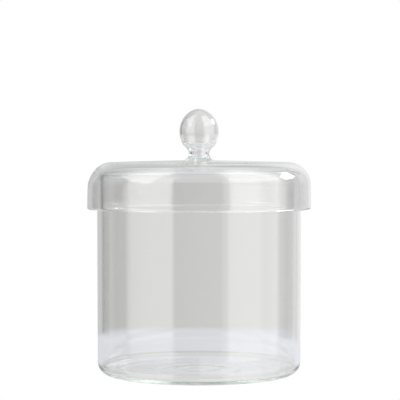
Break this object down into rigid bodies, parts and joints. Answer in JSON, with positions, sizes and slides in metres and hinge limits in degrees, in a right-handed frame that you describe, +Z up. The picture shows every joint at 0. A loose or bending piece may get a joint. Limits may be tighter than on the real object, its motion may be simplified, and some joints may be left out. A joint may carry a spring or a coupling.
{
  "type": "specimen jar",
  "caption": "Round clear glass jar with a straight wall and a loose cap-shaped glass lid lifted by a hollow ball knob.",
  "frame": {"origin": "centre of the face the jar stands on", "axes": "+Z up along the axis of the jar; the jar is round, so +X and +Y are free and lie in the table plane"},
  "size_m": [0.1194, 0.1194, 0.1417],
  "materials": {
    "jar_glass": "clear, fire polished",
    "lid_glass": "clear, fire polished"
  },
  "bodies": {
    "jar": {"jar_body": "jar_glass"},
    "lid": {"lid_cap": "lid_glass", "lid_knob": "lid_glass"}
  },
  "joints": [
    {"name": "lid_lift", "type": "slide", "parent": "jar", "child": "lid", "axis": [0, 0, 1], "range_m": [0, 0.06]}
  ]
}
